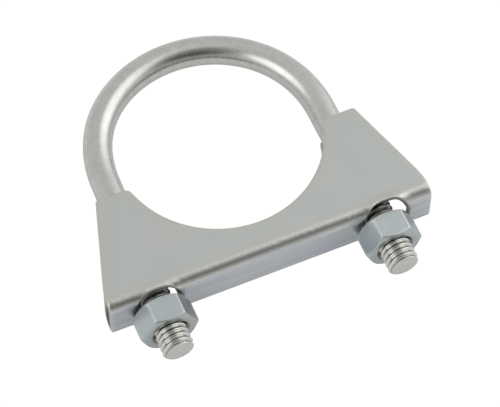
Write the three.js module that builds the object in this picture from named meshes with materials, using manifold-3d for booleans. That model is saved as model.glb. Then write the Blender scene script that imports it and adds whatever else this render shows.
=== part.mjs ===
// Saddle-type U-bolt clamp for a 51 mm tube: a round-bar U-bolt with threaded ends, a saddle folded
// from sheet steel, and two hex nuts. Lengths in mm. The origin is the tube's centre; +Z runs along
// the tube, +X along the saddle and -Y down the legs of the U-bolt. The clamp lies on one cheek.
import * as THREE from "three";
import Module from "manifold-3d";
import { mergeVertices } from "three/addons/utils/BufferGeometryUtils.js";

// U-bolt
const BAR_RADIUS = 3.67;
const RING_RADIUS = 29.2; // of the bar's centre line; the legs run straight down from its ends
const LEG_END = 48.3; // tube centre to the cut ends of the legs
const BAR_SIDES = 20;
const RING_STEPS = 44;

// 8 mm thread, 18 to the inch
const PITCH = 25.4 / 18;
const MAJOR_RADIUS = 4.0;
const MINOR_RADIUS = 3.26;
const THREAD_TURNS = 15;
const THREAD_CLEARANCE = 0.2; // radial, between the bolt's thread and the nut's
const CREST_SHARE = 0.16; // of the pitch
const ROOT_SHARE = 0.26; // of the pitch
const FLANK_SHARE = (1 - CREST_SHARE - ROOT_SHARE) / 2;
const RUN_OUT = 1.6; // over which the thread fades into the bar
const END_CHAMFER = 0.5;
const END_RADIUS = 3.6;
const THREAD_START = LEG_END - END_CHAMFER - THREAD_TURNS * PITCH;

// Saddle
const SHEET = 2.0;
const CHANNEL_WIDTH = 13.2;
const BEND_RADIUS = 2.8; // outside
const BEND_STEPS = 8;
const BASE_FACE = 35.4; // tube centre to the outer face of the base
const SEAT_RADIUS = 26.0;
const SEAT_DROP = 0.6; // the seat's centre lies this far below the tube's: nuts not yet tight
const SEAT_STEPS = 44;
const HORN_TOP = 6.0; // tube centre to the flat tops of the cheeks
const HORN_HALF = 34.15; // half the length across the tops
const BASE_HALF = 41.8; // half the length at the base
const EDGE_SLOPE = 0.31; // how fast the slanted ends widen towards the base
const HORN_INNER_ROUND = 1.5;
const HORN_OUTER_ROUND = 0.6;
const SHOULDER_ROUND = 3.2; // each way from where the slanted end meets the square end of the base
const SADDLE_SHIFT = 0.55; // along +X: the saddle hangs to one side in the clearance of its holes
// The two holes once the blank is folded: the press drags each out of round in its own way. `along`
// and `across` are half lengths, and `middle` is where the hole's middle lies across the blank from
// the middle of the base, all measured round the bends. A squareness of 2 would be an ellipse.
const HOLES = [
  { x: -29.65, middle: 0, along: 6.3, across: 5.5, squareness: 2.7 },
  { x: 29.8, middle: 0, along: 6.3, across: 6.15, squareness: 2.7 },
];
// Beside each hole the lower cheek is cut away, so that one looks right through the clamp there.
const WINDOWS = [
  { x: -27.2, middle: -7.6, along: 4.0, across: 4.6, squareness: 3.4 },
  { x: 33.1, middle: -7.6, along: 4.7, across: 4.6, squareness: 3.4 },
];
const HOLE_COLUMNS = 28;
const HOLE_ROWS = 14;

// Nuts
const NUT_ACROSS_FLATS = 13.0;
const NUT_HEIGHT = 6.8;
const NUT_FACE_RADIUS = 6.4; // of the flat face left by the chamfer
const NUT_CHAMFER = THREE.MathUtils.degToRad(34);
const NUT_SEAT = BASE_FACE + 0.8; // tube centre to the nuts' inner faces
const NUT_TURN = THREE.MathUtils.degToRad(-2.8); // how far each nut's flat is turned off the cheeks
const COUNTERSINK = 0.75; // wider than the thread, at both faces

const TAU = 2 * Math.PI;
const wasm = await Module();
wasm.setup();

const zinc = new THREE.MeshStandardMaterial({ color: 0xb4b7b4, roughness: 0.34, metalness: 1 });
const bright = new THREE.MeshStandardMaterial({ color: 0xc6c9c8, roughness: 0.26, metalness: 1 });
const bluish = new THREE.MeshStandardMaterial({ color: 0xa6adaf, roughness: 0.38, metalness: 1 });

// A closed skin of triangles. Points that fall together become one, so a row of points may shrink to
// a single point or share points with the row before it.
class Skin {
  constructor() {
    this.points = [];
    this.index = new Map();
    this.faces = [];
  }

  point(p) {
    const key = [p.x, p.y, p.z].map((v) => Math.round(v * 1e4)).join();
    if (!this.index.has(key)) {
      this.index.set(key, this.points.length);
      this.points.push(p);
    }
    return this.index.get(key);
  }

  // A triangle, anticlockwise seen from outside.
  triangle(a, b, c) {
    const corners = [a, b, c].map((p) => this.point(p));
    if (new Set(corners).size === 3) this.faces.push(...corners);
  }

  // Joins rows of points that all have the same length.
  join(rows) {
    for (let j = 0; j + 1 < rows.length; j++) {
      for (let i = 0; i + 1 < rows[j].length; i++) {
        this.triangle(rows[j][i], rows[j][i + 1], rows[j + 1][i + 1]);
        this.triangle(rows[j][i], rows[j + 1][i + 1], rows[j + 1][i]);
      }
    }
  }

  // Closes a ring of points with a flat fan.
  cap(ring, centre) {
    for (let i = 0; i + 1 < ring.length; i++) this.triangle(centre, ring[i], ring[i + 1]);
  }

  geometry() {
    const geometry = new THREE.BufferGeometry();
    const flat = this.points.flatMap((p) => [p.x, p.y, p.z]);
    geometry.setAttribute("position", new THREE.Float32BufferAttribute(flat, 3));
    geometry.setIndex(this.faces);
    return faceted(geometry);
  }
}

function faceted(geometry) {
  const loose = geometry.toNonIndexed();
  loose.computeVertexNormals();
  return loose;
}

// Height of the thread between root (0) and crest (1) at a place given in turns.
function threadHeight(turns) {
  const phase = turns - Math.floor(turns);
  const fall = 2 * FLANK_SHARE + CREST_SHARE;
  return THREE.MathUtils.clamp(Math.min(phase, fall - phase) / FLANK_SHARE, 0, 1);
}

// A point on a leg, or in a nut. The angle runs from +X towards +Z, which is clockwise for someone
// who looks from the tube towards the leg's end.
function around(axisX, radius, side, distance) {
  const angle = (TAU * (side % BAR_SIDES)) / BAR_SIDES;
  return new THREE.Vector3(
    axisX + radius * Math.cos(angle),
    -distance,
    radius * Math.sin(angle),
  );
}

// Rows of points that follow the edges of the right-hand thread round a leg's axis. Each row rises
// by one pitch as it goes round, and rows are clamped to the stretch between `from` and `to`.
// radiusAt(distance, height) gives the skin's radius.
function threadRows(axisX, from, to, radiusAt) {
  const edges = [0, FLANK_SHARE, FLANK_SHARE + CREST_SHARE, 2 * FLANK_SHARE + CREST_SHARE];
  const first = Math.floor((from - THREAD_START) / PITCH) - 1;
  const last = Math.ceil((to - THREAD_START) / PITCH);
  const rows = [];
  for (let turn = first; turn <= last; turn++) {
    for (const edge of edges) {
      const row = [];
      for (let side = 0; side <= BAR_SIDES; side++) {
        const wound = THREAD_START + (turn + edge + side / BAR_SIDES) * PITCH;
        const distance = THREE.MathUtils.clamp(wound, from, to);
        const turns = (distance - THREAD_START) / PITCH - side / BAR_SIDES;
        const radius = radiusAt(distance, threadHeight(turns));
        row.push(around(axisX, radius, side, distance));
      }
      rows.push(row);
    }
  }
  return rows;
}

// The thread fades into the bar at its inner end and is bevelled at the cut end.
function boltRadius(distance, height) {
  const thread = THREE.MathUtils.lerp(MINOR_RADIUS, MAJOR_RADIUS, height);
  const fade = THREE.MathUtils.clamp((distance - THREAD_START) / RUN_OUT, 0, 1);
  const bevel = THREE.MathUtils.clamp((LEG_END - distance) / END_CHAMFER, 0, 1);
  return Math.min(
    THREE.MathUtils.lerp(BAR_RADIUS, thread, fade),
    THREE.MathUtils.lerp(END_RADIUS, MAJOR_RADIUS, bevel),
  );
}

// The ring of bar where a leg's thread begins.
function legRing(axisX) {
  const ring = [];
  for (let side = 0; side <= BAR_SIDES; side++) {
    ring.push(around(axisX, BAR_RADIUS, side, THREAD_START));
  }
  return ring;
}

// A ring of points round the bar, `turn` radians from the +X end of the bend.
function bendRing(turn) {
  return legRing(0).map((p) => {
    const reach = RING_RADIUS + p.x;
    return new THREE.Vector3(reach * Math.cos(turn), reach * Math.sin(turn), p.z);
  });
}

function uBolt() {
  const skin = new Skin();
  for (const axisX of [-RING_RADIUS, RING_RADIUS]) {
    const rows = threadRows(axisX, THREAD_START, LEG_END, boltRadius);
    skin.join(rows);
    skin.cap(rows[rows.length - 1], new THREE.Vector3(axisX, -LEG_END, 0));
  }
  // The bar comes round the bend and meets the far leg with its sides in the opposite order.
  const far = legRing(-RING_RADIUS);
  const rings = [far.map((_, side) => far[(1.5 * BAR_SIDES - side) % BAR_SIDES])];
  for (let step = RING_STEPS; step >= 0; step--) {
    rings.push(bendRing((Math.PI * step) / RING_STEPS));
  }
  rings.push(legRing(RING_RADIUS));
  skin.join(rings);
  return skin.geometry();
}

function toManifold(geometry) {
  const bare = geometry.clone();
  bare.deleteAttribute("normal");
  bare.deleteAttribute("uv");
  const merged = mergeVertices(bare, 1e-4);
  return new wasm.Manifold(
    new wasm.Mesh({
      numProp: 3,
      vertProperties: merged.attributes.position.array,
      triVerts: new Uint32Array(merged.index.array),
    }),
  );
}

function fromManifold(solid) {
  const mesh = solid.getMesh();
  const geometry = new THREE.BufferGeometry();
  geometry.setAttribute("position", new THREE.BufferAttribute(mesh.vertProperties, 3));
  geometry.setIndex(new THREE.BufferAttribute(mesh.triVerts, 1));
  return faceted(geometry);
}

// One end of the cheek's outline, from the seat's lip down to the base, for the +X end.
function cheekEnd() {
  const lipX = Math.sqrt(SEAT_RADIUS ** 2 - (HORN_TOP - SEAT_DROP) ** 2);
  const corner = new THREE.Vector2(HORN_HALF, -HORN_TOP);
  const shoulder = new THREE.Vector2(BASE_HALF, -HORN_TOP - (BASE_HALF - HORN_HALF) / EDGE_SLOPE);
  const slant = shoulder.clone().sub(corner).normalize();
  const end = new THREE.Path();
  end.moveTo(lipX, -HORN_TOP - HORN_INNER_ROUND);
  end.quadraticCurveTo(lipX, -HORN_TOP, lipX + HORN_INNER_ROUND, -HORN_TOP);
  end.lineTo(corner.x - HORN_OUTER_ROUND, corner.y);
  const afterCorner = corner.clone().addScaledVector(slant, HORN_OUTER_ROUND);
  end.quadraticCurveTo(corner.x, corner.y, afterCorner.x, afterCorner.y);
  const beforeShoulder = shoulder.clone().addScaledVector(slant, -SHOULDER_ROUND);
  end.lineTo(beforeShoulder.x, beforeShoulder.y);
  end.quadraticCurveTo(shoulder.x, shoulder.y, shoulder.x, shoulder.y - SHOULDER_ROUND);
  end.lineTo(BASE_HALF, -BASE_FACE);
  return end.getPoints(8);
}

// The saddle's outline seen along the tube.
function cheekOutline() {
  const end = cheekEnd();
  const lip = Math.asin((-SEAT_DROP - end[0].y) / SEAT_RADIUS);
  const seat = [];
  for (let step = 0; step <= SEAT_STEPS; step++) {
    const turn = Math.PI + lip + ((Math.PI - 2 * lip) * step) / SEAT_STEPS;
    const x = SEAT_RADIUS * Math.cos(turn);
    seat.push(new THREE.Vector2(x, SEAT_RADIUS * Math.sin(turn) - SEAT_DROP));
  }
  const mirrored = end.map((p) => new THREE.Vector2(-p.x, p.y)).reverse();
  return new THREE.Shape([...mirrored.slice(0, -1), ...seat, ...end.slice(1)]);
}

// The folded channel's section: x runs across the channel and y along the U-bolt's legs.
function channelSection() {
  const half = CHANNEL_WIDTH / 2;
  const bendX = half - BEND_RADIUS;
  const bendY = BEND_RADIUS - BASE_FACE;
  const inner = BEND_RADIUS - SHEET;
  const shape = new THREE.Shape();
  shape.moveTo(-half, 0);
  shape.lineTo(-half, bendY);
  shape.absarc(-bendX, bendY, BEND_RADIUS, Math.PI, 1.5 * Math.PI, false);
  shape.absarc(bendX, bendY, BEND_RADIUS, 1.5 * Math.PI, TAU, false);
  shape.lineTo(half, 0);
  shape.lineTo(half - SHEET, 0);
  shape.absarc(bendX, bendY, inner, TAU, 1.5 * Math.PI, true);
  shape.absarc(-bendX, bendY, inner, 1.5 * Math.PI, Math.PI, true);
  shape.lineTo(SHEET - half, 0);
  shape.closePath();
  return shape;
}

// Where a point of the flat blank lands once both sides are folded up. `across` is measured from the
// middle of the base, and `lift` outwards from the middle of the sheet.
function fold(x, across, lift) {
  const flat = CHANNEL_WIDTH / 2 - BEND_RADIUS;
  const neutral = BEND_RADIUS - SHEET / 2;
  const past = Math.max(Math.abs(across) - flat, 0);
  const turn = Math.min(past / neutral, Math.PI / 2);
  const up = past - turn * neutral;
  const radius = neutral + lift;
  const side = Math.sign(across);
  return new THREE.Vector3(
    x,
    BEND_RADIUS - BASE_FACE - radius * Math.cos(turn) + up,
    side * (Math.min(Math.abs(across), flat) + radius * Math.sin(turn)),
  );
}

// A point on the rim of a hole, as offsets along and across the blank, for a turn of half a circle.
function holeRim(hole, turn) {
  const power = 2 / hole.squareness;
  return new THREE.Vector2(
    -Math.sign(Math.cos(turn)) * hole.along * Math.abs(Math.cos(turn)) ** power,
    hole.across * Math.max(Math.sin(turn), 0) ** power,
  );
}

// The space that a punched hole leaves once the blank is folded.
function punchedHole(hole) {
  const sheetOf = (lift) => {
    const rows = [];
    for (let column = 0; column <= HOLE_COLUMNS; column++) {
      const rim = holeRim(hole, (Math.PI * column) / HOLE_COLUMNS);
      const row = [];
      for (let step = 0; step <= HOLE_ROWS; step++) {
        const across = hole.middle + rim.y * ((2 * step) / HOLE_ROWS - 1);
        row.push(fold(hole.x + rim.x, across, lift));
      }
      rows.push(row);
    }
    return rows;
  };
  const outside = sheetOf(SHEET / 2 + 1);
  const inside = sheetOf(-SHEET / 2 - 0.6);
  const skin = new Skin();
  skin.join([...outside].reverse());
  skin.join(inside);
  skin.join([inside, outside].map((rows) => rows.map((row) => row[0])));
  skin.join([outside, inside].map((rows) => rows.map((row) => row[HOLE_ROWS])));
  return skin.geometry();
}

function saddle() {
  const side = new THREE.ExtrudeGeometry(cheekOutline(), {
    depth: CHANNEL_WIDTH + 2,
    bevelEnabled: false,
  });
  side.translate(0, 0, -CHANNEL_WIDTH / 2 - 1);
  const section = new THREE.ExtrudeGeometry(channelSection(), {
    depth: 2 * BASE_HALF + 2,
    bevelEnabled: false,
    curveSegments: BEND_STEPS,
  });
  section.translate(0, 0, -BASE_HALF - 1);
  section.rotateY(Math.PI / 2);
  let solid = toManifold(side).intersect(toManifold(section));
  for (const hole of [...HOLES, ...WINDOWS]) {
    solid = solid.subtract(toManifold(punchedHole(hole)));
  }
  return fromManifold(solid);
}

// The space inside a nut: the bolt's thread grown by the clearance and countersunk at both faces.
function threadedBore() {
  const from = NUT_SEAT - 0.5;
  const to = NUT_SEAT + NUT_HEIGHT + 0.5;
  const boreRadius = (distance, height) => {
    const thread = THREE.MathUtils.lerp(MINOR_RADIUS, MAJOR_RADIUS, height) + THREAD_CLEARANCE;
    const depth = Math.min(distance - NUT_SEAT, NUT_SEAT + NUT_HEIGHT - distance);
    return Math.max(thread, MAJOR_RADIUS + COUNTERSINK - Math.max(depth, 0));
  };
  const rows = threadRows(0, from, to, boreRadius);
  const skin = new Skin();
  skin.join(rows);
  skin.cap([...rows[0]].reverse(), new THREE.Vector3(0, -from, 0));
  skin.cap(rows[rows.length - 1], new THREE.Vector3(0, -to, 0));
  return skin.geometry();
}

// A hex prism trimmed by a cone at each end, with a threaded bore.
function nut() {
  const corner = NUT_ACROSS_FLATS / Math.sqrt(3);
  const hexagon = [];
  for (let i = 0; i < 6; i++) {
    const turn = (TAU * i) / 6 + NUT_TURN;
    hexagon.push(new THREE.Vector2(corner * Math.cos(turn), corner * Math.sin(turn)));
  }
  const prism = new THREE.ExtrudeGeometry(new THREE.Shape(hexagon), {
    depth: NUT_HEIGHT,
    bevelEnabled: false,
  });
  prism.rotateX(Math.PI / 2);
  const wide = corner + 1;
  const drop = (wide - NUT_FACE_RADIUS) * Math.tan(NUT_CHAMFER);
  const cones = new THREE.LatheGeometry(
    [
      new THREE.Vector2(0, -NUT_HEIGHT),
      new THREE.Vector2(NUT_FACE_RADIUS, -NUT_HEIGHT),
      new THREE.Vector2(wide, drop - NUT_HEIGHT),
      new THREE.Vector2(wide, -drop),
      new THREE.Vector2(NUT_FACE_RADIUS, 0),
      new THREE.Vector2(0, 0),
    ],
    48,
  );
  const body = toManifold(prism).intersect(toManifold(cones)).translate([0, -NUT_SEAT, 0]);
  return fromManifold(body.subtract(toManifold(threadedBore())));
}

const clamp = new THREE.Group();
clamp.name = "u_bolt_clamp";

function add(name, geometry, material, x) {
  const mesh = new THREE.Mesh(geometry, material);
  mesh.name = name;
  mesh.position.x = x;
  clamp.add(mesh);
}

add("u_bolt", uBolt(), bright, 0);
add("saddle", saddle(), zinc, SADDLE_SHIFT);
add("nut_left", nut(), bluish, -RING_RADIUS);
add("nut_right", nut(), bluish, RING_RADIUS);

export default clamp;
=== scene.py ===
# Looks for the saddle U-bolt clamp: a zinc-plated bar, a folded sheet saddle and two hex nuts.
# Lengths in the shape code are in millimetres, in the CAD frame; meshes are written in metres.
import math

import bpy
import numpy as np
from mathutils import Matrix, Vector, geometry


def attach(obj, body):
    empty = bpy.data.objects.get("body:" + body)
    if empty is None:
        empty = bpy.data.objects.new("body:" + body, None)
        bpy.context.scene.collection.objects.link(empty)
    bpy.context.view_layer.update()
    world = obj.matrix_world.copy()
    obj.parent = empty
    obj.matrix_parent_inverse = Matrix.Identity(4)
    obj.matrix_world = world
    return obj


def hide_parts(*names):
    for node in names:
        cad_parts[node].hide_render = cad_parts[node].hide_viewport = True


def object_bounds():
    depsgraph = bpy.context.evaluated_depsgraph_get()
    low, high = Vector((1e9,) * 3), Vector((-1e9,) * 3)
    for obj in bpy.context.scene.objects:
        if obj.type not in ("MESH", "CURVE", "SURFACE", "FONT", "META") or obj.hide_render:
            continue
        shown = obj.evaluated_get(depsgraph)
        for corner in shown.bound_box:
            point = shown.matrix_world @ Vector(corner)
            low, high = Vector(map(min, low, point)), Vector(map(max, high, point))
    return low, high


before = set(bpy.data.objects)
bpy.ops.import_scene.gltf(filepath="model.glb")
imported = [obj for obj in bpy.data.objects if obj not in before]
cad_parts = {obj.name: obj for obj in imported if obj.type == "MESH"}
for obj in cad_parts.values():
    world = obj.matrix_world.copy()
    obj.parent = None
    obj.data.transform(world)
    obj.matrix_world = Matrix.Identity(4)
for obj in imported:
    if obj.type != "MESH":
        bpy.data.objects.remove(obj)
cad_low, cad_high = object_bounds()

MM = 0.001
TAU = 2 * math.pi

# Camera
CAMERA_PLACE = (-120.52, -300.77, 525.45)
CAMERA_AIM = (1.903, -17.801, 0.0)
CAMERA_ROLL = math.radians(0.25)
LENS = 180.0
SENSOR = 36.0

# Stage, in metres
FLOOR_HALF = 2.0
FLOOR_STEP = 0.5
FLOOR_GAP = 0.0001
FLOOR_GLEAM = 0.2
TABLE_LIGHT = 1.06
TABLE_SHARE = 0.93

# Light: how much comes from everywhere, and what softboxes and dark cards add or take away.
# Each is (azimuth, elevation, radius, softness, strength), with azimuth 0 in front and 90 at +X.
AMBIENT = 0.60
PATCHES = (
    (-6, 52, 26, 13, -0.38),
    (-2, 14, 34, 18, -0.20),
    (-84, 37, 21, 8, 0.95),
    (85, 46, 24, 12, 0.80),
    (100, 12, 20, 14, 0.36),
)

# U-bolt
BAR_RADIUS = 3.67
RING_RADIUS = 29.2
LEG_END = 48.3
PITCH = 25.4 / 18
THREAD_MAJOR = 4.0
THREAD_MINOR = 3.26
THREAD_TURNS = 15
END_CHAMFER = 0.5
END_RADIUS = 3.6
RUN_OUT = 1.6
THREAD_START = LEG_END - END_CHAMFER - THREAD_TURNS * PITCH
THREAD_CLEARANCE = 0.2
CREST_PHASE = 0.37  # where in each turn the crest comes
CREST_FULLNESS = 0.75  # under 1, crests are broader than roots
RING_STEPS = 150
LEG_STEPS = 24
THREAD_STEPS = 12
THREAD_SIDES = 60
BAR_SIDES = 60
# how the ring stands off a true half circle
RING_SWELL = 0.12
LEFT_PINCH = 0.92
RIGHT_PINCH = 0.42
PINCH_POWER = 8
# rings across a cut leg end: share of its radius, and how far it is dished
END_RINGS = ((0.93, 0.0), (0.6, 0.03), (0.3, 0.0))

# Saddle
SHEET = 2.0
HALF_WIDTH = 6.6
BEND_RADIUS = 2.8
NEUTRAL = BEND_RADIUS - SHEET / 2
FLAT = HALF_WIDTH - BEND_RADIUS
BASE_FACE = 35.4
SEAT_RADIUS = 26.0
SEAT_DROP = 0.6
HORN_TOP = 6.0
HORN_HALF = 34.15
BASE_HALF = 41.8
EDGE_SLOPE = 0.31
HORN_INNER_ROUND = 1.5
LOWER_HORN_ROUND = 0.35
HORN_OUTER_ROUND = 0.6
SHOULDER_ROUND = 3.2
SADDLE_SHIFT = 0.55
# a hole or window on the flat blank: middle along and across it, half sizes, squareness
HOLES = ((-29.65, 0.0, 6.3, 5.5, 2.7), (29.8, 0.0, 6.3, 6.15, 2.7))
WINDOWS = ((-27.2, -7.6, 4.0, 4.6, 3.4), (33.1, -7.6, 4.7, 4.6, 3.4))
OUTER_ROUND = 0.42
INNER_ROUND = 0.12
GRID = 0.9  # spacing of the points on its two faces
GUARD = 0.3  # how far those points keep from the cut edge
SMALLEST = 1e-5  # twice the area of the smallest triangle kept on them, in square mm
# where the sheet stands proud beside a hole: how far up the bend, how wide, how far out, how much
LIP_HEIGHT = 5.9
LIP_SPREAD = 1.3
LIP_REACH = 0.9
LIP_LIFT = 0.32
RIM_FADE = 2.2  # how far the warmer plating reaches in from a cut edge
HALVINGS = 30  # how often a rim point is halved in on
PUNCHED = 2.0  # the rim attribute on the walls of the holes, where it is 1 on other cut edges

# Nuts
FLATS = 13.0
NUT_HEIGHT = 6.8
NUT_FACE = 6.4
NUT_CHAMFER = math.radians(34)
NUT_SEAT = BASE_FACE + 0.8
NUT_TURN = math.radians(-2.8)
FACE_MIDDLE = 5.6
FACE_BLEND = 0.12  # rounds the line where the flat face meets the chamfer
EDGE_EASE = 0.16  # rounds the line where the chamfer meets the side
CORNER_ROUND = 0.35
CORNER_STEPS = 5
FLAT_STEPS = 12
COUNTERSINK = 0.75
FACE_DEPTH = 0.5  # what lies nearer a face than this belongs to the face
# painted shade and grime: the end faces are darkened more nearer the bolt than this radius
GRIME_AND_SHADE_RADIUS = 5.7  # the outer face is duller nearer the bolt than this
RUBBED = 0.22  # how far in from its tip a corner is rubbed bright
RUBBED_FADE = 0.16
# painted shade on each flat, from the one that faces +X and up, and then on the end faces, where it
# is painted shade with grime near the bolt
NUT_SHADE_AND_GRIME = {
    "left": (0.72, 0.04, 0.04, 0.1, 0.15, 0.1, 0.45),
    "right": (0.22, 0.0, 0.0, 0.1, 0.05, 0.1, 0.25),
}


def clamp(x, low=0.0, high=1.0):
    return min(max(x, low), high)


def smooth(x):
    x = clamp(x)
    return x * x * (3 - 2 * x)


def lerp(a, b, t):
    return a + (b - a) * t


class Skin:
    """Points and faces, where points that fall together become one.

    The materials read three values at each point: flow, a place measured along the metal; wear, how
    rubbed or raised it is; and rim, which marks cut edges and threads, and on the nuts painted
    shade, partly grime.
    """

    def __init__(self):
        self.rim = []
        self.points = []
        self.flow = []
        self.wear = []
        self.index = {}
        self.faces = []

    def point(self, p, flow, wear=0.0, rim=0.0):
        key = (round(p[0], 4), round(p[1], 4), round(p[2], 4))
        if key not in self.index:
            self.index[key] = len(self.points)
            self.points.append(p)
            self.flow.append(flow)
            self.wear.append(wear)
            self.rim.append(rim)
        return self.index[key]

    def face(self, *corners):
        ring = [c for i, c in enumerate(corners) if c != corners[i - 1]]
        if len(set(ring)) == len(ring) > 2:
            self.faces.append(ring)

    def join(self, rows):
        """Quads between rows of point numbers that all have the same length."""
        for a, b in zip(rows, rows[1:]):
            for i in range(len(a) - 1):
                self.face(a[i], a[i + 1], b[i + 1], b[i])

    def build(self, name, sharp=34):
        mesh = bpy.data.meshes.new(name)
        mesh.from_pydata([Vector(p) * MM for p in self.points], [], self.faces)
        mesh.validate()
        flow = mesh.attributes.new("flow", "FLOAT_VECTOR", "POINT")
        flow.data.foreach_set("vector", np.array(self.flow, np.float32).ravel())
        wear = mesh.attributes.new("wear", "FLOAT", "POINT")
        wear.data.foreach_set("value", np.array(self.wear, np.float32))
        rim = mesh.attributes.new("rim", "FLOAT", "POINT")
        rim.data.foreach_set("value", np.array(self.rim, np.float32))
        mesh.shade_smooth()
        mesh.set_sharp_from_angle(angle=math.radians(sharp))
        piece = bpy.data.objects.new(name, mesh)
        bpy.context.scene.collection.objects.link(piece)
        weighted = piece.modifiers.new("even_shading", "WEIGHTED_NORMAL")
        weighted.keep_sharp = True
        return piece


# ---------------------------------------------------------------- U-bolt


def thread_height(turns):
    """From root (0) to crest (1), with the rounding that rolling leaves."""
    return (0.5 + 0.5 * math.cos(TAU * (turns - CREST_PHASE))) ** CREST_FULLNESS


def bolt_radius(distance, height):
    thread = lerp(THREAD_MINOR, THREAD_MAJOR, height)
    fade = clamp((distance - THREAD_START) / RUN_OUT)
    bevel = clamp((LEG_END - distance) / END_CHAMFER)
    return min(lerp(BAR_RADIUS, thread, fade), lerp(END_RADIUS, THREAD_MAJOR, smooth(bevel)))


def around(axis_x, radius, angle, distance):
    return (axis_x + radius * math.cos(angle), -distance, radius * math.sin(angle))


def thread_rows(skin, axis_x, start, end, radius_at):
    """Rows that wind with the right-hand thread, clamped to the stretch from start to end."""
    first = math.floor((start - THREAD_START) / PITCH) - 1
    last = math.ceil((end - THREAD_START) / PITCH)
    rows = []
    for turn in range(first, last + 1):
        for step in range(THREAD_STEPS):
            row = []
            for side in range(THREAD_SIDES + 1):
                share = side / THREAD_SIDES
                wound = THREAD_START + (turn + step / THREAD_STEPS + share) * PITCH
                distance = clamp(wound, start, end)
                height = thread_height((distance - THREAD_START) / PITCH - share)
                radius = radius_at(distance, height)
                angle = TAU * (side % THREAD_SIDES) / THREAD_SIDES
                place = around(axis_x, radius, angle, distance)
                flow = (distance, radius * math.cos(angle), radius * math.sin(angle))
                threaded = smooth((distance - THREAD_START + 0.3) / 1.2)
                row.append(skin.point(place, flow, height, threaded))
            rows.append(row)
    return rows


def ring_radius(turn):
    """The bar's distance from the tube's centre: its sides were left a little pinched in."""
    left = clamp(-math.cos(turn)) ** PINCH_POWER
    right = clamp(math.cos(turn)) ** PINCH_POWER
    return RING_RADIUS + RING_SWELL - LEFT_PINCH * left - RIGHT_PINCH * right


def leg_drift(side_sign, distance):
    """How far a leg stands off its straight line, from the ring down to the thread."""
    pinch = ring_radius(0 if side_sign > 0 else math.pi) - RING_RADIUS
    return side_sign * pinch * (1 - distance / THREAD_START)


def close_end(skin, axis_x, rim):
    """Rings and a fan across a leg's cut end, inside its last row of points."""
    rings = [rim]
    for ratio, dip in END_RINGS:
        ring = []
        for side in range(THREAD_SIDES + 1):
            angle = TAU * (side % THREAD_SIDES) / THREAD_SIDES
            place = around(axis_x, END_RADIUS * ratio, angle, LEG_END - dip)
            ring.append(skin.point(place, (LEG_END, place[0], place[2]), 0.5))
        rings.append(ring)
    skin.join(rings)
    centre = skin.point((axis_x, -LEG_END, 0.0), (LEG_END, 0, 0), 0.5)
    for a, b in zip(rings[-1], rings[-1][1:]):
        skin.face(a, b, centre)


def bar_section(skin, x, y, turn, along):
    """A ring of points round the bar, whose outward side is at `turn` round the tube."""
    ring = []
    for side in range(BAR_SIDES + 1):
        angle = TAU * (side % BAR_SIDES) / BAR_SIDES
        out = BAR_RADIUS * math.cos(angle)
        up = BAR_RADIUS * math.sin(angle)
        place = (x + out * math.cos(turn), y + out * math.sin(turn), up)
        ring.append(skin.point(place, (along, out, up), 0.5))
    return ring


def build_bolt():
    skin = Skin()
    for axis_x in (-RING_RADIUS, RING_RADIUS):
        rows = thread_rows(skin, axis_x, THREAD_START, LEG_END, bolt_radius)
        skin.join(rows)
        close_end(skin, axis_x, rows[-1])
    rings = []
    for step in range(LEG_STEPS + 1):
        distance = THREAD_START * (1 - step / LEG_STEPS)
        x = -RING_RADIUS + leg_drift(-1, distance)
        rings.append(bar_section(skin, x, -distance, math.pi, -distance))
    for step in range(1, RING_STEPS):
        turn = math.pi * (1 - step / RING_STEPS)
        x, y = ring_radius(turn) * math.cos(turn), ring_radius(turn) * math.sin(turn)
        rings.append(bar_section(skin, x, y, turn, (math.pi - turn) * RING_RADIUS))
    for step in range(LEG_STEPS + 1):
        distance = THREAD_START * step / LEG_STEPS
        x = RING_RADIUS + leg_drift(1, distance)
        rings.append(bar_section(skin, x, -distance, 0, math.pi * RING_RADIUS + distance))
    skin.join(rings)
    return skin.build("clamp_bar")


# ---------------------------------------------------------------- saddle

BEND_LINE = FLAT + NEUTRAL * math.pi / 2  # on the flat blank, from the middle of the base


def to_blank(y):
    """Where a height on the cheek lies on the flat blank."""
    return BEND_LINE + y + BASE_FACE - BEND_RADIUS


def quadratic(a, b, c, steps):
    points = []
    for i in range(1, steps + 1):
        t = i / steps
        u = 1 - t
        points.append(tuple(u * u * p + 2 * u * t * q + t * t * r for p, q, r in zip(a, b, c)))
    return points


def straight(a, b, spacing):
    steps = max(1, round(math.dist(a, b) / spacing))
    return [tuple(lerp(p, q, i / steps) for p, q in zip(a, b)) for i in range(1, steps + 1)]


def half_cheek(inner_round):
    """The blank's edge from the end of the base round to the middle of the seat."""
    top = to_blank(-HORN_TOP)
    lip = math.sqrt(SEAT_RADIUS**2 - (HORN_TOP - SEAT_DROP) ** 2)
    corner = (HORN_HALF, top)
    drop = (BASE_HALF - HORN_HALF) / EDGE_SLOPE
    shoulder = (BASE_HALF, top - drop)
    size = math.hypot(BASE_HALF - HORN_HALF, drop)
    slant = ((BASE_HALF - HORN_HALF) / size, -drop / size)

    def along(point, distance):
        return (point[0] + slant[0] * distance, point[1] + slant[1] * distance)

    low_shoulder = (BASE_HALF, FLAT + NEUTRAL * 1.05)
    half = [(BASE_HALF, 0.0)]
    half += straight(half[-1], low_shoulder, 0.25)
    half += quadratic(half[-1], shoulder, along(shoulder, -SHOULDER_ROUND), 14)
    half += straight(half[-1], along(corner, HORN_OUTER_ROUND), 0.8)
    half += quadratic(half[-1], corner, (corner[0] - HORN_OUTER_ROUND, top), 6)
    half += straight(half[-1], (lip + inner_round, top), 0.8)
    half += quadratic(half[-1], (lip, top), (lip - 0.2 * inner_round, top - inner_round), 8)
    centre = to_blank(-SEAT_DROP)
    start = math.asin((half[-1][1] - centre) / SEAT_RADIUS)
    arc_steps = 50
    for step in range(1, arc_steps + 1):
        turn = lerp(start, -math.pi / 2, step / arc_steps)
        half.append((SEAT_RADIUS * math.cos(turn), centre + SEAT_RADIUS * math.sin(turn)))
    return half


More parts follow.
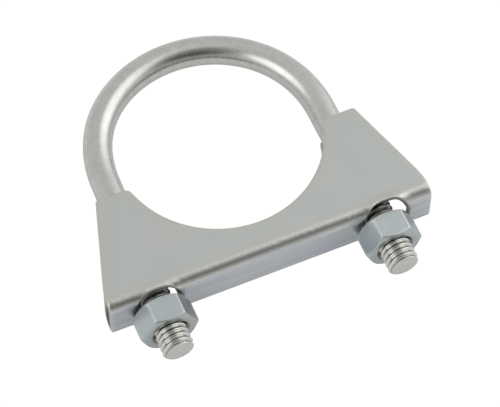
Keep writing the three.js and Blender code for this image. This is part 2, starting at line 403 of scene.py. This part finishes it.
def blank_outline():
    """The flat blank's edge, anticlockwise, as a closed loop of (along, across)."""
    upper, lower = half_cheek(HORN_INNER_ROUND), half_cheek(LOWER_HORN_ROUND)
    upper += [(-x, s) for x, s in reversed(upper[:-1])]
    lower += [(-x, s) for x, s in reversed(lower[:-1])]
    return upper + [(-x, -s) for x, s in lower[1:-1]]


def opening_ratio(x, s, opening):
    """Under 1 inside a hole or window, 1 on its rim and more outside."""
    middle_x, middle_s, along, across, squareness = opening
    return (
        abs((x - middle_x) / along) ** squareness + abs((s - middle_s) / across) ** squareness
    ) ** (1 / squareness)


def opening_rim(hole, window, steps=120):
    """The edge of a hole and the window it runs into, seen from a point that is in both."""
    start = ((hole[0] + window[0]) / 2, (hole[1] - hole[3] + window[1] + window[3]) / 2)
    rim = []
    for step in range(steps):
        turn = TAU * (step + 0.5) / steps
        ray = (math.cos(turn), math.sin(turn))
        reach = 0.0
        for opening in (hole, window):
            near, far = 0.0, 4 * opening[2]  # from inside the opening to well outside it
            for _ in range(HALVINGS):
                middle = (near + far) / 2
                x, s = start[0] + ray[0] * middle, start[1] + ray[1] * middle
                if opening_ratio(x, s, opening) > 1:
                    far = middle
                else:
                    near = middle
            reach = max(reach, near)
        rim.append((start[0] + ray[0] * reach, start[1] + ray[1] * reach))
    return rim


def offset_loop(loop, distance):
    """The loop moved to its left by distance."""
    p = np.array(loop)
    edge = np.roll(p, -1, 0) - p
    edge /= np.linalg.norm(edge, axis=1)[:, None]
    normal = np.stack([-edge[:, 1], edge[:, 0]], 1)
    mean = normal + np.roll(normal, 1, 0)
    mean /= np.linalg.norm(mean, axis=1)[:, None]
    stretch = np.clip(np.einsum("ij,ij->i", mean, normal), 0.5, 1)
    return p + mean * (distance / stretch)[:, None]


def inside(points, loop):
    """Which points lie inside a closed loop."""
    p = np.array(loop)
    q = np.roll(p, -1, 0)
    x, y = points[:, 0][:, None], points[:, 1][:, None]
    crosses = (p[:, 1] > y) != (q[:, 1] > y)
    with np.errstate(divide="ignore", invalid="ignore"):
        at = (q[:, 0] - p[:, 0]) * (y - p[:, 1]) / (q[:, 1] - p[:, 1]) + p[:, 0]
    return (crosses & (x < at)).sum(1) % 2 == 1


def lip_lift(x, s):
    """How far the sheet stands proud beside the holes, where the press cannot draw it down."""
    lift = 0.0
    for hole in HOLES:
        reach = max(opening_ratio(x, s, hole) - 1, 0.0) * hole[3]
        height = math.exp(-(((s - LIP_HEIGHT) / LIP_SPREAD) ** 2))
        lift += LIP_LIFT * height * math.exp(-((reach / LIP_REACH) ** 2))
    return lift


def fold(x, s, lift):
    turn = clamp((abs(s) - FLAT) / NEUTRAL, 0, math.pi / 2)
    radius = NEUTRAL + lift + lip_lift(x, s)
    side = math.copysign(1, s)
    rise = max(abs(s) - BEND_LINE, 0)
    y = BEND_RADIUS - BASE_FACE - radius * math.cos(turn) + rise
    z = side * (min(abs(s), FLAT) + radius * math.sin(turn))
    return (x + SADDLE_SHIFT, y, z)


def cut_edge_profile():
    """(inset, lift) down the cut edge, from its rolled outer corner to its crisp inner one."""
    profile = []
    for step in range(7):
        a = math.pi / 2 * step / 6
        profile.append(
            (OUTER_ROUND * (1 - math.sin(a)), SHEET / 2 - OUTER_ROUND * (1 - math.cos(a)))
        )
    profile.append((0.0, 0.0))
    for step in range(4):
        a = math.pi / 2 * step / 3
        profile.append(
            (INNER_ROUND * (1 - math.cos(a)), INNER_ROUND * (1 - math.sin(a)) - SHEET / 2)
        )
    return profile


def grid_points(guards):
    """Points inside the first loop and outside the others, closer together across the bends."""
    rows = [FLAT * i / 5 for i in range(5)]
    rows += [FLAT + (BEND_LINE - FLAT) * i / 12 for i in range(13)]
    rows += list(np.arange(BEND_LINE + 0.4, to_blank(-HORN_TOP), GRID))
    rows = sorted({-row for row in rows} | set(rows))
    columns = np.arange(0.3 - BASE_HALF, BASE_HALF - 0.2, GRID)
    grid = np.array([(x, s) for s in rows for x in columns])
    keep = inside(grid, guards[0])
    for ring in guards[1:]:
        keep &= ~inside(grid, ring)
    return grid[keep]


def fill_face(rims, grid):
    """Triangles over one face of the blank: its points, and the corners of each triangle."""
    points = [Vector(p) for ring in rims for p in ring]
    edges = []
    start = 0
    for ring in rims:
        n = len(ring)
        edges += [(start + i, start + (i + 1) % n) for i in range(n)]
        start += n
    points += [Vector(p) for p in grid]
    verts, _, faces, _, _, _ = geometry.delaunay_2d_cdt(points, edges, [], 0, 1e-6)
    flat = np.array([tuple(v) for v in verts])
    corners = np.array([tuple(f) for f in faces])
    a, b, c = (flat[corners[:, i]] for i in range(3))
    area = (b[:, 0] - a[:, 0]) * (c[:, 1] - a[:, 1]) - (b[:, 1] - a[:, 1]) * (c[:, 0] - a[:, 0])
    middle = flat[corners].mean(1)
    keep = inside(middle, rims[0]) & (np.abs(area) > SMALLEST)
    for ring in rims[1:]:
        keep &= ~inside(middle, ring)
    return flat, corners[keep]


def build_saddle():
    skin = Skin()
    outline = blank_outline()
    loops = [outline]
    loops += [opening_rim(hole, window)[::-1] for hole, window in zip(HOLES, WINDOWS)]

    def put(x, s, lift, wear, rim):
        return skin.point(fold(x, s, lift), (x, s, lift), wear, rim)

    for loop in loops:
        rows = []
        shade = 1.0 if loop is outline else PUNCHED
        for distance, lift in cut_edge_profile():
            row = [put(x, s, lift, 1.0, shade) for x, s in offset_loop(loop, distance)]
            rows.append(row + row[:1])
        skin.join(rows[::-1])
    border = np.concatenate([offset_loop(loop, 0) for loop in loops])
    for side, inset in ((1, OUTER_ROUND), (-1, INNER_ROUND)):
        rims = [offset_loop(loop, inset) for loop in loops]
        grid = grid_points([offset_loop(loop, inset + GUARD) for loop in loops])
        flat, corners = fill_face(rims, grid)
        away = np.sqrt(((flat[:, None] - border[None]) ** 2).sum(2).min(1))
        fade = np.exp(-away / RIM_FADE)
        numbers = [put(x, s, side * SHEET / 2, 0.0, fade[i]) for i, (x, s) in enumerate(flat)]
        for a, b, c in corners[:, ::side]:
            skin.face(numbers[a], numbers[b], numbers[c])
    return skin.build("saddle_plate", sharp=50)


# ---------------------------------------------------------------- nuts


def hex_corner(corner):
    """The points round one of the hexagon's corners, which are slightly rounded."""
    base = TAU * corner / 6
    middle = (FLATS / 2 - CORNER_ROUND) / math.cos(math.pi / 6)
    points = []
    for i in range(CORNER_STEPS + 1):
        a = base + lerp(-math.pi / 6, math.pi / 6, i / CORNER_STEPS)
        x = middle * math.cos(base) + CORNER_ROUND * math.cos(a)
        y = middle * math.sin(base) + CORNER_ROUND * math.sin(a)
        points.append((x, y))
    return points


def hex_section():
    """The nut's outline as (radius, angle) pairs round a full turn."""
    points = []
    for corner in range(6):
        points += hex_corner(corner)
        start, end = points[-1], hex_corner(corner + 1)[0]
        for i in range(1, FLAT_STEPS):
            points.append(tuple(lerp(p, q, i / FLAT_STEPS) for p, q in zip(start, end)))
    return [(math.hypot(x, y), math.atan2(y, x)) for x, y in points]


def chamfer_depth(radius):
    return max(radius - NUT_FACE, 0) * math.tan(NUT_CHAMFER)


def nut_face_profile(side):
    """(radius, depth, wear) from the countersink out to the side, at a radius of `side`."""
    bore = THREAD_MAJOR + COUNTERSINK
    face_end, cone_start = NUT_FACE - FACE_BLEND, NUT_FACE + FACE_BLEND
    face = (bore, bore + FACE_BLEND, FACE_MIDDLE, face_end, cone_start)
    profile = [(min(radius, side), chamfer_depth(radius), 0.0) for radius in face]
    cone_end = side - EDGE_EASE
    for share in (0.4, 0.75):
        radius = lerp(cone_start if cone_end > cone_start else face_end, cone_end, share)
        profile.append((radius, chamfer_depth(radius), 0.1))
    start = (cone_end, chamfer_depth(cone_end))
    corner = (side, chamfer_depth(side))
    end = (side, chamfer_depth(side) + EDGE_EASE)
    profile += [(*point, 1.0) for point in [start, *quadratic(start, corner, end, 4)]]
    return profile


def nut_side_profile(side):
    """(radius, depth, wear) down the side, between the two faces' profiles."""
    top = chamfer_depth(side) + EDGE_EASE
    shares = (0.12, 0.3, 0.5, 0.7, 0.88)
    return [(side, lerp(top, NUT_HEIGHT - top, share), 0.0) for share in shares]


def bore_radius(distance, height):
    """The nut's thread, countersunk at both faces."""
    thread = lerp(THREAD_MINOR, THREAD_MAJOR, height) + THREAD_CLEARANCE
    depth = min(distance - NUT_SEAT, NUT_SEAT + NUT_HEIGHT - distance)
    return max(thread, THREAD_MAJOR + COUNTERSINK - max(depth, 0))


def build_nut(name, axis_x, shading_and_grime):
    """`shading_and_grime` says how much painted shade each of the six flats gets, and then the end
    faces, where it is painted shade with grime near the bolt.
    """
    skin = Skin()
    section = hex_section()
    tip = max(radius for radius, _ in section)

    def put(radius, depth, wear, angle):
        """depth runs from the inner face (0) to the outer face (NUT_HEIGHT)."""
        place = around(axis_x, radius, angle + NUT_TURN, NUT_SEAT + depth)
        flow = (place[0] - axis_x, depth, place[2])
        wear *= 0.35
        # painted shade on the flats; on the end faces painted shade with grime near the bolt
        if FACE_DEPTH < depth < NUT_HEIGHT - FACE_DEPTH:
            rubbed = smooth((radius - tip + RUBBED) / RUBBED_FADE)
            return skin.point(place, flow, max(wear, rubbed), shading_and_grime[int(angle % TAU / (TAU / 6))])
        return skin.point(place, flow, wear, shading_and_grime[6] * (0.5 + 0.5 * smooth(GRIME_AND_SHADE_RADIUS - radius)))

    columns = []
    for radius, angle in section:
        face = nut_face_profile(radius)
        outer = [(r, NUT_HEIGHT - depth, wear) for r, depth, wear in reversed(face)]
        columns.append([(*point, angle) for point in face + nut_side_profile(radius) + outer])
    rows = []
    for level in zip(*columns):
        row = [put(*point) for point in level]
        rows.append(row + row[:1])
    skin.join(rows)
    # the bore's points carry rim 1 from thread_rows, which the nut material darkens as painted
    # shade in the hole
    bore = thread_rows(skin, axis_x, NUT_SEAT, NUT_SEAT + NUT_HEIGHT, bore_radius)
    skin.join([row[::-1] for row in bore])
    stitch(skin, bore[0], rows[0], axis_x, False)
    stitch(skin, bore[-1], rows[-1], axis_x, True)
    return skin.build(name, sharp=40)


def stitch(skin, a_row, b_row, axis_x, flip):
    """Triangles between two closed rings round a nut's axis with different numbers of points."""

    def turn_of(n):
        x, _, z = skin.points[n]
        return math.atan2(z, x - axis_x) % TAU

    def in_order(row):
        unique = list(dict.fromkeys(row))
        return sorted(((turn_of(n), n) for n in unique))

    a, b = in_order(a_row), in_order(b_row)
    a.append((a[0][0] + TAU, a[0][1]))
    b.append((b[0][0] + TAU, b[0][1]))
    i = j = 0
    while i < len(a) - 1 or j < len(b) - 1:
        if j == len(b) - 1 or (i < len(a) - 1 and a[i + 1][0] <= b[j + 1][0]):
            face = (a[i][1], a[i + 1][1], b[j][1])
            i += 1
        else:
            face = (a[i][1], b[j + 1][1], b[j][1])
            j += 1
        skin.face(*(face[::-1] if flip else face))


# ---------------------------------------------------------------- materials


class Shader:
    """A thin helper that builds a node tree from nested calls."""

    def __init__(self, name):
        self.material = bpy.data.materials.new(name)
        self.material.use_nodes = True
        self.tree = self.material.node_tree
        self.surface = self.tree.nodes["Principled BSDF"]

    def node(self, kind, inputs=(), **settings):
        node = self.tree.nodes.new(kind)
        for key, value in settings.items():
            setattr(node, key, value)
        for key, value in dict(inputs).items():
            if isinstance(value, bpy.types.NodeSocket):
                self.tree.links.new(value, node.inputs[key])
            else:
                node.inputs[key].default_value = value
        return node

    def attribute(self, name, output):
        return self.node("ShaderNodeAttribute", attribute_name=name).outputs[output]

    def noise(self, vector, scale, detail=3.0, roughness=0.55, stretch=(1, 1, 1)):
        moved = self.node("ShaderNodeMapping", {"Vector": vector, "Scale": stretch})
        return self.node(
            "ShaderNodeTexNoise",
            {"Vector": moved.outputs[0], "Scale": scale, "Detail": detail, "Roughness": roughness},
        ).outputs[0]

    def math(self, operation, a, b=0.0, c=0.0, limit=False):
        return self.node(
            "ShaderNodeMath", {0: a, 1: b, 2: c}, operation=operation, use_clamp=limit
        ).outputs[0]

    def span(self, value, low, high, to_low=0.0, to_high=1.0):
        ends = {"From Min": low, "From Max": high, "To Min": to_low, "To Max": to_high}
        return self.node(
            "ShaderNodeMapRange", {"Value": value, **ends}, interpolation_type="SMOOTHSTEP"
        ).outputs[0]

    def mix(self, share, a, b):
        return self.node(
            "ShaderNodeMix", {0: share, 6: a, 7: b}, data_type="RGBA", blend_type="MIX"
        ).outputs[2]

    def tint(self, colour, share, strength, other):
        """The colour, with up to `strength` of the other one where `share` is 1."""
        return self.mix(self.math("MULTIPLY", share, strength), colour, other)

    def split(self, vector):
        return self.node("ShaderNodeSeparateXYZ", {0: vector}).outputs

    def finish(self, colour, roughness, height, strength, distance=0.02):
        bump = self.node(
            "ShaderNodeBump", {"Height": height, "Strength": strength, "Distance": distance * MM}
        )
        self.tree.links.new(colour, self.surface.inputs["Base Color"])
        self.tree.links.new(roughness, self.surface.inputs["Roughness"])
        self.tree.links.new(bump.outputs[0], self.surface.inputs["Normal"])
        self.surface.inputs["Metallic"].default_value = 1.0
        return self.material


def tone(red, green, blue):
    return (red, green, blue, 1.0)


def bar_material():
    """Bright zinc over drawn bar, with faint marks along it; the rolled thread is brighter, with
    painted shade in its roots and where it lies inside the channel.
    """
    s = Shader("bright_zinc_plate")
    flow = s.attribute("flow", "Vector")
    wear = s.attribute("wear", "Fac")
    along = s.split(flow)[0]
    cloud = s.noise(flow, 0.5, 4)
    streak = s.noise(flow, 1.0, 4, 0.65, (0.05, 1.3, 1.3))
    threaded = s.span(s.attribute("rim", "Fac"), 0.3, 0.7)
    smooth_bar = s.math("SUBTRACT", 1.0, threaded)
    mottle = s.math("MULTIPLY", s.noise(flow, 1.6, 3, 0.6), smooth_bar)
    grain = s.math("MULTIPLY", s.noise(flow, 6.5, 3, 0.65), smooth_bar)
    # painted shade: the thread's roots are darkened, standing in for the shade in its grooves
    root = s.math("MULTIPLY", threaded, s.span(wear, 0.66, 0.05))
    # painted shade: the thread inside the saddle's channel is darkened and made rougher, standing
    # in for the channel's shade
    shade_in_channel = s.math("MULTIPLY", threaded, s.span(along, BASE_FACE + 0.9, BASE_FACE - 0.6))
    colour = s.mix(s.span(cloud, 0.3, 0.7), tone(0.655, 0.665, 0.635), tone(0.72, 0.725, 0.69))
    colour = s.tint(colour, s.span(streak, 0.45, 0.8), 0.25, tone(0.55, 0.56, 0.51))
    colour = s.tint(colour, threaded, 0.8, tone(0.84, 0.835, 0.80))
    colour = s.tint(colour, root, 0.75, tone(0.24, 0.235, 0.215))
    colour = s.tint(colour, shade_in_channel, 0.7, tone(0.20, 0.20, 0.19))
    rough = s.math("MULTIPLY_ADD", mottle, 0.13, 0.17)
    rough = s.math("MULTIPLY_ADD", grain, 0.05, rough)
    rough = s.math("MULTIPLY_ADD", threaded, -0.06, rough)
    rough = s.math("MULTIPLY_ADD", shade_in_channel, 0.15, rough)
    height = s.math("MULTIPLY_ADD", streak, 0.5, s.math("MULTIPLY", grain, 0.5))
    height = s.math("MULTIPLY_ADD", mottle, 0.9, height)
    return s.finish(colour, rough, height, 0.36, 0.03)


def sheet_material():
    """Zinc over cold-rolled sheet: cool, warmer at its edges, with draw lines on the base, and
    painted shade inside the channel and on the walls of its holes.
    """
    s = Shader("zinc_plated_sheet")
    flow = s.attribute("flow", "Vector")
    wear = s.attribute("wear", "Fac")
    rim = s.attribute("rim", "Fac")
    _, across, lift = s.split(flow)
    cloud = s.noise(flow, 0.10, 3)
    fleck = s.noise(flow, 0.9, 4, 0.6)
    peel = s.noise(flow, 1.5, 3, 0.6)
    grain = s.noise(flow, 6.0, 3, 0.65)
    draw = s.noise(flow, 1.0, 4, 0.6, (0.04, 1.5, 1.0))
    # where the base, the bends, the inside of the channel and the walls of its holes are
    from_middle = s.math("ABSOLUTE", across)
    base = s.span(from_middle, FLAT + 1.8, FLAT - 0.4)
    below_cheek = s.span(from_middle, BEND_LINE + 2.4, BEND_LINE)
    bend = s.math("MULTIPLY", below_cheek, s.span(from_middle, 0.5, FLAT))
    lines = s.math("MULTIPLY", s.span(draw, 0.40, 0.66), base)
    near_base = s.span(from_middle, BEND_LINE + 6.0, BEND_LINE + 2.0)
    # painted shade: the sheet's inner face near the base and the lower walls of its holes
    inner = s.math("MULTIPLY", s.span(lift, 0.1, -0.6), near_base)
    wall = s.math("MULTIPLY", s.span(rim, 1.3, PUNCHED - 0.1), s.span(lift, 0.8, 0.4))
    channel_shade = s.math("MAXIMUM", inner, wall)
    colour = s.mix(s.span(cloud, 0.36, 0.64), tone(0.665, 0.715, 0.71), tone(0.70, 0.725, 0.70))
    colour = s.tint(colour, rim, 0.85, tone(0.70, 0.69, 0.63))
    colour = s.tint(colour, s.span(fleck, 0.5, 0.75), 0.22, tone(0.60, 0.62, 0.585))
    colour = s.tint(colour, bend, 0.55, tone(0.70, 0.68, 0.62))
    colour = s.tint(colour, base, 0.75, tone(0.68, 0.705, 0.73))
    colour = s.tint(colour, lines, 0.75, tone(0.50, 0.55, 0.65))
    colour = s.tint(colour, wear, 0.35, tone(0.74, 0.73, 0.68))
    # painted shade inside the channel and on the hole walls
    colour = s.tint(colour, channel_shade, 0.85, tone(0.12, 0.12, 0.115))
    rough = s.math("MULTIPLY_ADD", fleck, 0.12, 0.20)
    rough = s.math("MULTIPLY_ADD", grain, 0.08, rough)
    height = s.math("MULTIPLY_ADD", lines, 1.0, s.math("MULTIPLY", grain, 0.6))
    height = s.math("MULTIPLY_ADD", s.math("MULTIPLY", peel, bend), 3.5, height)
    height = s.math("MULTIPLY_ADD", fleck, 0.7, height)
    return s.finish(colour, rough, height, 0.5, 0.03)


def nut_material():
    """Bluish zinc over a cold-formed nut: bright where rubbed; painted shade in the bore and on
    some flats, and on the end faces painted shade with grime near the bolt.
    """
    s = Shader("blue_zinc_nut")
    flow = s.attribute("flow", "Vector")
    wear = s.attribute("wear", "Fac")
    shading_and_grime = s.attribute("rim", "Fac")
    cloud = s.noise(flow, 0.3, 3)
    mottle = s.noise(flow, 1.4, 4, 0.6)
    grain = s.noise(flow, 5.0, 3, 0.6)
    colour = s.mix(s.span(cloud, 0.3, 0.7), tone(0.58, 0.645, 0.655), tone(0.64, 0.69, 0.685))
    colour = s.tint(colour, s.span(mottle, 0.5, 0.75), 0.25, tone(0.53, 0.57, 0.565))
    colour = s.tint(colour, s.span(wear, 0.4, 1.0), 0.6, tone(0.86, 0.88, 0.86))
    # painted shade on the bore, on some flats and on the end faces, with some grime near the bolt
    colour = s.tint(colour, shading_and_grime, 0.75, tone(0.22, 0.22, 0.20))
    rough = s.math("MULTIPLY_ADD", mottle, 0.14, 0.20)
    rough = s.math("MULTIPLY_ADD", grain, 0.05, rough)
    height = s.math("MULTIPLY_ADD", mottle, 1.5, s.math("MULTIPLY", grain, 0.4))
    return s.finish(colour, rough, height, 0.35, 0.03)


# ---------------------------------------------------------------- stage, light, camera


def floor_material():
    """Plain pale paper to the object. The camera sees it lit from below, as a light table."""
    s = Shader("floor_paper")
    place = s.node("ShaderNodeTexCoord").outputs["Object"]
    fibre = s.node("ShaderNodeTexNoise", {"Vector": place, "Scale": 60.0}).outputs[0]
    shade = s.node("ShaderNodeMapRange", {"Value": fibre, "To Min": 0.66, "To Max": 0.70})
    s.tree.links.new(shade.outputs[0], s.surface.inputs["Base Color"])
    s.surface.inputs["Roughness"].default_value = 1.0
    s.surface.inputs["Specular IOR Level"].default_value = 0.0
    s.surface.inputs["Emission Color"].default_value = tone(1.0, 0.99, 1.0)
    s.surface.inputs["Emission Strength"].default_value = FLOOR_GLEAM
    camera_ray = s.node("ShaderNodeLightPath").outputs["Is Camera Ray"]
    table = s.node("ShaderNodeEmission", {"Strength": TABLE_LIGHT}).outputs[0]
    share = s.math("MULTIPLY", camera_ray, TABLE_SHARE)
    mixed = s.node("ShaderNodeMixShader", {0: share, 1: s.surface.outputs[0], 2: table})
    s.tree.links.new(mixed.outputs[0], s.tree.nodes["Material Output"].inputs["Surface"])
    return s.material


def build_floor():
    count = round(2 * FLOOR_HALF / FLOOR_STEP)
    ticks = [-FLOOR_HALF + FLOOR_STEP * i for i in range(count + 1)]
    points = [(x, y, cad_low[2] - FLOOR_GAP) for y in ticks for x in ticks]
    faces = []
    for j in range(count):
        for i in range(count):
            here = j * (count + 1) + i
            faces.append((here, here + 1, here + count + 2, here + count + 1))
    mesh = bpy.data.meshes.new("floor")
    mesh.from_pydata(points, [], faces)
    mesh.materials.append(floor_material())
    floor = bpy.data.objects.new("floor", mesh)
    bpy.context.scene.collection.objects.link(floor)


def build_world():
    """A soft studio: even light, with more from the softboxes and less from the dark cards."""
    world = bpy.data.worlds.new("studio")
    bpy.context.scene.world = world
    world.use_nodes = True
    tree = world.node_tree
    tree.nodes.clear()
    coordinate = tree.nodes.new("ShaderNodeTexCoord")
    total = None
    for azimuth, elevation, middle, softness, strength in PATCHES:
        a, e = math.radians(azimuth), math.radians(elevation)
        toward = Vector((math.sin(a) * math.cos(e), -math.cos(a) * math.cos(e), math.sin(e)))
        dot = tree.nodes.new("ShaderNodeVectorMath")
        dot.operation = "DOT_PRODUCT"
        tree.links.new(coordinate.outputs["Generated"], dot.inputs[0])
        dot.inputs[1].default_value = toward
        ramp = tree.nodes.new("ShaderNodeMapRange")
        ramp.interpolation_type = "SMOOTHSTEP"
        ramp.inputs["From Min"].default_value = math.cos(math.radians(middle + softness))
        ramp.inputs["From Max"].default_value = math.cos(math.radians(max(middle - softness, 0)))
        ramp.inputs["To Max"].default_value = strength
        tree.links.new(dot.outputs["Value"], ramp.inputs["Value"])
        add = tree.nodes.new("ShaderNodeMath")
        add.operation = "ADD"
        tree.links.new(ramp.outputs[0], add.inputs[0])
        if total is None:
            add.inputs[1].default_value = AMBIENT
        else:
            tree.links.new(total, add.inputs[1])
        total = add.outputs[0]
    background = tree.nodes.new("ShaderNodeBackground")
    output = tree.nodes.new("ShaderNodeOutputWorld")
    background.inputs["Color"].default_value = (1, 1, 1, 1)
    tree.links.new(total, background.inputs["Strength"])
    tree.links.new(background.outputs[0], output.inputs[0])


def build_camera():
    data = bpy.data.cameras.new("camera")
    data.lens = LENS
    data.sensor_width = SENSOR
    data.sensor_fit = "HORIZONTAL"
    data.clip_end = 10
    camera = bpy.data.objects.new("camera", data)
    place = Vector(CAMERA_PLACE) * MM
    aim = Vector(CAMERA_AIM) * MM
    look = (aim - place).to_track_quat("-Z", "Y").to_matrix().to_4x4()
    camera.matrix_world = Matrix.Translation(place) @ look @ Matrix.Rotation(CAMERA_ROLL, 4, "Z")
    bpy.context.scene.collection.objects.link(camera)
    bpy.context.scene.camera = camera


# ---------------------------------------------------------------- the scene


def dress(piece, body, node, material):
    piece.data.materials.append(material)
    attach(piece, body)
    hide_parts(node)


nut_finish = nut_material()
dress(build_bolt(), "u_bolt_body", "u_bolt", bar_material())
dress(build_saddle(), "saddle_body", "saddle", sheet_material())
for side, sign in (("left", -1), ("right", 1)):
    nut = build_nut("hex_nut_" + side, sign * RING_RADIUS, NUT_SHADE_AND_GRIME[side])
    dress(nut, "nut_" + side + "_body", "nut_" + side, nut_finish)

build_floor()
build_world()
build_camera()
bpy.context.scene.view_settings.view_transform = "Standard"
